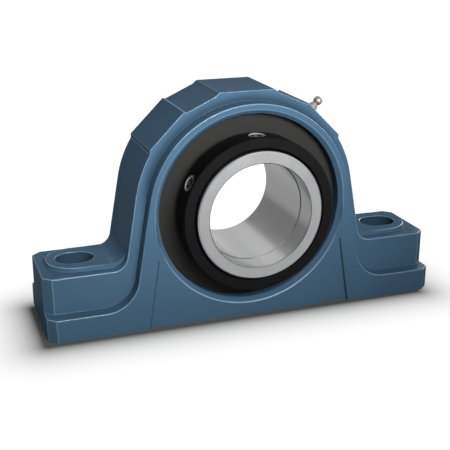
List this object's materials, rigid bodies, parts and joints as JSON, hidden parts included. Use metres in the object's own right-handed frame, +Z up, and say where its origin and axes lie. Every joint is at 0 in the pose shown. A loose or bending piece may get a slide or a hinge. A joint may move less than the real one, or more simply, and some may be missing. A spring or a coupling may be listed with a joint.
{
  "type": "pillow block bearing",
  "caption": "Cast pillow block with a slotted base, a self-aligning roller bearing, a locking collar on the inner ring and a grease nipple on the shoulder.",
  "frame": {"origin": "middle of the base's flat underside, below the middle of the bearing", "axes": "+X along the base's length, +Y along the shaft towards the side away from the collar, +Z up"},
  "size_m": [0.3496, 0.1121, 0.1919],
  "materials": {
    "paint": "satin blue-grey enamel on a sand-cast body",
    "plated_steel": "zinc plated",
    "bearing_steel": "fine ground",
    "spring_steel": "phosphated",
    "seal": "matte",
    "guide_steel": "turned",
    "black_steel": "black oxide",
    "sheet_steel": "pressed",
    "cage_brass": "machined",
    "screw_steel": "plain",
    "roller_steel": "ground"
  },
  "bodies": {
    "housing": {"housing": "paint", "grease_nipple": "plated_steel", "outer_ring": "bearing_steel", "front_retaining_ring": "spring_steel", "rear_retaining_ring": "spring_steel", "front_seal": "seal", "rear_seal": "seal"},
    "aligner": {"guide_ring": "guide_steel"},
    "shaft_sleeve": {"inner_ring": "bearing_steel", "collar": "black_steel", "front_flinger": "sheet_steel", "rear_flinger": "sheet_steel"},
    "front_cage": {"front_cage": "cage_brass"},
    "rear_cage": {"rear_cage": "cage_brass"},
    "top_screw": {"top_set_screw": "screw_steel"},
    "side_screw": {"side_set_screw": "screw_steel"},
    "front_roller_1": {"front_roller_1": "roller_steel"},
    "front_roller_2": {"front_roller_2": "roller_steel"},
    "front_roller_3": {"front_roller_3": "roller_steel"},
    "front_roller_4": {"front_roller_4": "roller_steel"},
    "front_roller_5": {"front_roller_5": "roller_steel"},
    "front_roller_6": {"front_roller_6": "roller_steel"},
    "front_roller_7": {"front_roller_7": "roller_steel"},
    "front_roller_8": {"front_roller_8": "roller_steel"},
    "front_roller_9": {"front_roller_9": "roller_steel"},
    "front_roller_10": {"front_roller_10": "roller_steel"},
    "front_roller_11": {"front_roller_11": "roller_steel"},
    "front_roller_12": {"front_roller_12": "roller_steel"},
    "front_roller_13": {"front_roller_13": "roller_steel"},
    "front_roller_14": {"front_roller_14": "roller_steel"},
    "front_roller_15": {"front_roller_15": "roller_steel"},
    "front_roller_16": {"front_roller_16": "roller_steel"},
    "rear_roller_1": {"rear_roller_1": "roller_steel"},
    "rear_roller_2": {"rear_roller_2": "roller_steel"},
    "rear_roller_3": {"rear_roller_3": "roller_steel"},
    "rear_roller_4": {"rear_roller_4": "roller_steel"},
    "rear_roller_5": {"rear_roller_5": "roller_steel"},
    "rear_roller_6": {"rear_roller_6": "roller_steel"},
    "rear_roller_7": {"rear_roller_7": "roller_steel"},
    "rear_roller_8": {"rear_roller_8": "roller_steel"},
    "rear_roller_9": {"rear_roller_9": "roller_steel"},
    "rear_roller_10": {"rear_roller_10": "roller_steel"},
    "rear_roller_11": {"rear_roller_11": "roller_steel"},
    "rear_roller_12": {"rear_roller_12": "roller_steel"},
    "rear_roller_13": {"rear_roller_13": "roller_steel"},
    "rear_roller_14": {"rear_roller_14": "roller_steel"},
    "rear_roller_15": {"rear_roller_15": "roller_steel"},
    "rear_roller_16": {"rear_roller_16": "roller_steel"}
  },
  "joints": [
    {"name": "alignment", "type": "hinge", "parent": "housing", "child": "aligner", "pos_m": [0, 0, 0.09525], "axis": [1, 0, 0], "range_deg": [-1, 1]},
    {"name": "shaft_spin", "type": "hinge", "parent": "aligner", "child": "shaft_sleeve", "pos_m": [0, 0, 0.09525], "axis": [0, 1, 0], "continuous": true},
    {"name": "front_cage_spin", "type": "hinge", "parent": "aligner", "child": "front_cage", "pos_m": [0, 0, 0.09525], "axis": [0, 1, 0], "continuous": true},
    {"name": "rear_cage_spin", "type": "hinge", "parent": "aligner", "child": "rear_cage", "pos_m": [0, 0, 0.09525], "axis": [0, 1, 0], "continuous": true},
    {"name": "top_screw_travel", "type": "slide", "parent": "shaft_sleeve", "child": "top_screw", "axis": [0, 0, 1], "range_m": [-0.0006, 0.004]},
    {"name": "side_screw_travel", "type": "slide", "parent": "shaft_sleeve", "child": "side_screw", "axis": [-0.8829, 0, 0.4695], "range_m": [-0.0006, 0.004]},
    {"name": "front_roller_1_spin", "type": "hinge", "parent": "front_cage", "child": "front_roller_1", "pos_m": [0.05818, -0.0111, 0.11935], "axis": [0.1604, 0.9848, 0.0665], "continuous": true},
    {"name": "front_roller_2_spin", "type": "hinge", "parent": "front_cage", "child": "front_roller_2", "pos_m": [0.04453, -0.0111, 0.13978], "axis": [0.1228, 0.9848, 0.1228], "continuous": true},
    {"name": "front_roller_3_spin", "type": "hinge", "parent": "front_cage", "child": "front_roller_3", "pos_m": [0.0241, -0.0111, 0.15343], "axis": [0.0665, 0.9848, 0.1604], "continuous": true},
    {"name": "front_roller_4_spin", "type": "hinge", "parent": "front_cage", "child": "front_roller_4", "pos_m": [0, -0.0111, 0.15823], "axis": [0, 0.9848, 0.1736], "continuous": true},
    {"name": "front_roller_5_spin", "type": "hinge", "parent": "front_cage", "child": "front_roller_5", "pos_m": [-0.0241, -0.0111, 0.15343], "axis": [-0.0665, 0.9848, 0.1604], "continuous": true},
    {"name": "front_roller_6_spin", "type": "hinge", "parent": "front_cage", "child": "front_roller_6", "pos_m": [-0.04453, -0.0111, 0.13978], "axis": [-0.1228, 0.9848, 0.1228], "continuous": true},
    {"name": "front_roller_7_spin", "type": "hinge", "parent": "front_cage", "child": "front_roller_7", "pos_m": [-0.05818, -0.0111, 0.11935], "axis": [-0.1604, 0.9848, 0.0665], "continuous": true},
    {"name": "front_roller_8_spin", "type": "hinge", "parent": "front_cage", "child": "front_roller_8", "pos_m": [-0.06298, -0.0111, 0.09525], "axis": [-0.1736, 0.9848, 0], "continuous": true},
    {"name": "front_roller_9_spin", "type": "hinge", "parent": "front_cage", "child": "front_roller_9", "pos_m": [-0.05818, -0.0111, 0.07115], "axis": [-0.1604, 0.9848, -0.0665], "continuous": true},
    {"name": "front_roller_10_spin", "type": "hinge", "parent": "front_cage", "child": "front_roller_10", "pos_m": [-0.04453, -0.0111, 0.05072], "axis": [-0.1228, 0.9848, -0.1228], "continuous": true},
    {"name": "front_roller_11_spin", "type": "hinge", "parent": "front_cage", "child": "front_roller_11", "pos_m": [-0.0241, -0.0111, 0.03707], "axis": [-0.0665, 0.9848, -0.1604], "continuous": true},
    {"name": "front_roller_12_spin", "type": "hinge", "parent": "front_cage", "child": "front_roller_12", "pos_m": [0, -0.0111, 0.03227], "axis": [0, 0.9848, -0.1736], "continuous": true},
    {"name": "front_roller_13_spin", "type": "hinge", "parent": "front_cage", "child": "front_roller_13", "pos_m": [0.0241, -0.0111, 0.03707], "axis": [0.0665, 0.9848, -0.1604], "continuous": true},
    {"name": "front_roller_14_spin", "type": "hinge", "parent": "front_cage", "child": "front_roller_14", "pos_m": [0.04453, -0.0111, 0.05072], "axis": [0.1228, 0.9848, -0.1228], "continuous": true},
    {"name": "front_roller_15_spin", "type": "hinge", "parent": "front_cage", "child": "front_roller_15", "pos_m": [0.05818, -0.0111, 0.07115], "axis": [0.1604, 0.9848, -0.0665], "continuous": true},
    {"name": "front_roller_16_spin", "type": "hinge", "parent": "front_cage", "child": "front_roller_16", "pos_m": [0.06298, -0.0111, 0.09525], "axis": [0.1736, 0.9848, 0], "continuous": true},
    {"name": "rear_roller_1_spin", "type": "hinge", "parent": "rear_cage", "child": "rear_roller_1", "pos_m": [0.05236, 0.0111, 0.13024], "axis": [-0.1444, 0.9848, -0.0965], "continuous": true},
    {"name": "rear_roller_2_spin", "type": "hinge", "parent": "rear_cage", "child": "rear_roller_2", "pos_m": [0.03499, 0.0111, 0.14761], "axis": [-0.0965, 0.9848, -0.1444], "continuous": true},
    {"name": "rear_roller_3_spin", "type": "hinge", "parent": "rear_cage", "child": "rear_roller_3", "pos_m": [0.01229, 0.0111, 0.15702], "axis": [-0.0339, 0.9848, -0.1703], "continuous": true},
    {"name": "rear_roller_4_spin", "type": "hinge", "parent": "rear_cage", "child": "rear_roller_4", "pos_m": [-0.01229, 0.0111, 0.15702], "axis": [0.0339, 0.9848, -0.1703], "continuous": true},
    {"name": "rear_roller_5_spin", "type": "hinge", "parent": "rear_cage", "child": "rear_roller_5", "pos_m": [-0.03499, 0.0111, 0.14761], "axis": [0.0965, 0.9848, -0.1444], "continuous": true},
    {"name": "rear_roller_6_spin", "type": "hinge", "parent": "rear_cage", "child": "rear_roller_6", "pos_m": [-0.05236, 0.0111, 0.13024], "axis": [0.1444, 0.9848, -0.0965], "continuous": true},
    {"name": "rear_roller_7_spin", "type": "hinge", "parent": "rear_cage", "child": "rear_roller_7", "pos_m": [-0.06177, 0.0111, 0.10754], "axis": [0.1703, 0.9848, -0.0339], "continuous": true},
    {"name": "rear_roller_8_spin", "type": "hinge", "parent": "rear_cage", "child": "rear_roller_8", "pos_m": [-0.06177, 0.0111, 0.08296], "axis": [0.1703, 0.9848, 0.0339], "continuous": true},
    {"name": "rear_roller_9_spin", "type": "hinge", "parent": "rear_cage", "child": "rear_roller_9", "pos_m": [-0.05236, 0.0111, 0.06026], "axis": [0.1444, 0.9848, 0.0965], "continuous": true},
    {"name": "rear_roller_10_spin", "type": "hinge", "parent": "rear_cage", "child": "rear_roller_10", "pos_m": [-0.03499, 0.0111, 0.04289], "axis": [0.0965, 0.9848, 0.1444], "continuous": true},
    {"name": "rear_roller_11_spin", "type": "hinge", "parent": "rear_cage", "child": "rear_roller_11", "pos_m": [-0.01229, 0.0111, 0.03348], "axis": [0.0339, 0.9848, 0.1703], "continuous": true},
    {"name": "rear_roller_12_spin", "type": "hinge", "parent": "rear_cage", "child": "rear_roller_12", "pos_m": [0.01229, 0.0111, 0.03348], "axis": [-0.0339, 0.9848, 0.1703], "continuous": true},
    {"name": "rear_roller_13_spin", "type": "hinge", "parent": "rear_cage", "child": "rear_roller_13", "pos_m": [0.03499, 0.0111, 0.04289], "axis": [-0.0965, 0.9848, 0.1444], "continuous": true},
    {"name": "rear_roller_14_spin", "type": "hinge", "parent": "rear_cage", "child": "rear_roller_14", "pos_m": [0.05236, 0.0111, 0.06026], "axis": [-0.1444, 0.9848, 0.0965], "continuous": true},
    {"name": "rear_roller_15_spin", "type": "hinge", "parent": "rear_cage", "child": "rear_roller_15", "pos_m": [0.06177, 0.0111, 0.08296], "axis": [-0.1703, 0.9848, 0.0339], "continuous": true},
    {"name": "rear_roller_16_spin", "type": "hinge", "parent": "rear_cage", "child": "rear_roller_16", "pos_m": [0.06177, 0.0111, 0.10754], "axis": [-0.1703, 0.9848, -0.0339], "continuous": true}
  ],
  "couplings": [
    {"joint": "front_cage_spin", "follows": "shaft_spin", "ratio": 0.42181},
    {"joint": "rear_cage_spin", "follows": "shaft_spin", "ratio": 0.42181},
    {"joint": "front_roller_1_spin", "follows": "shaft_spin", "ratio": -3.0719},
    {"joint": "front_roller_2_spin", "follows": "shaft_spin", "ratio": -3.0719},
    {"joint": "front_roller_3_spin", "follows": "shaft_spin", "ratio": -3.0719},
    {"joint": "front_roller_4_spin", "follows": "shaft_spin", "ratio": -3.0719},
    {"joint": "front_roller_5_spin", "follows": "shaft_spin", "ratio": -3.0719},
    {"joint": "front_roller_6_spin", "follows": "shaft_spin", "ratio": -3.0719},
    {"joint": "front_roller_7_spin", "follows": "shaft_spin", "ratio": -3.0719},
    {"joint": "front_roller_8_spin", "follows": "shaft_spin", "ratio": -3.0719},
    {"joint": "front_roller_9_spin", "follows": "shaft_spin", "ratio": -3.0719},
    {"joint": "front_roller_10_spin", "follows": "shaft_spin", "ratio": -3.0719},
    {"joint": "front_roller_11_spin", "follows": "shaft_spin", "ratio": -3.0719},
    {"joint": "front_roller_12_spin", "follows": "shaft_spin", "ratio": -3.0719},
    {"joint": "front_roller_13_spin", "follows": "shaft_spin", "ratio": -3.0719},
    {"joint": "front_roller_14_spin", "follows": "shaft_spin", "ratio": -3.0719},
    {"joint": "front_roller_15_spin", "follows": "shaft_spin", "ratio": -3.0719},
    {"joint": "front_roller_16_spin", "follows": "shaft_spin", "ratio": -3.0719},
    {"joint": "rear_roller_1_spin", "follows": "shaft_spin", "ratio": -3.0719},
    {"joint": "rear_roller_2_spin", "follows": "shaft_spin", "ratio": -3.0719},
    {"joint": "rear_roller_3_spin", "follows": "shaft_spin", "ratio": -3.0719},
    {"joint": "rear_roller_4_spin", "follows": "shaft_spin", "ratio": -3.0719},
    {"joint": "rear_roller_5_spin", "follows": "shaft_spin", "ratio": -3.0719},
    {"joint": "rear_roller_6_spin", "follows": "shaft_spin", "ratio": -3.0719},
    {"joint": "rear_roller_7_spin", "follows": "shaft_spin", "ratio": -3.0719},
    {"joint": "rear_roller_8_spin", "follows": "shaft_spin", "ratio": -3.0719},
    {"joint": "rear_roller_9_spin", "follows": "shaft_spin", "ratio": -3.0719},
    {"joint": "rear_roller_10_spin", "follows": "shaft_spin", "ratio": -3.0719},
    {"joint": "rear_roller_11_spin", "follows": "shaft_spin", "ratio": -3.0719},
    {"joint": "rear_roller_12_spin", "follows": "shaft_spin", "ratio": -3.0719},
    {"joint": "rear_roller_13_spin", "follows": "shaft_spin", "ratio": -3.0719},
    {"joint": "rear_roller_14_spin", "follows": "shaft_spin", "ratio": -3.0719},
    {"joint": "rear_roller_15_spin", "follows": "shaft_spin", "ratio": -3.0719},
    {"joint": "rear_roller_16_spin", "follows": "shaft_spin", "ratio": -3.0719}
  ]
}
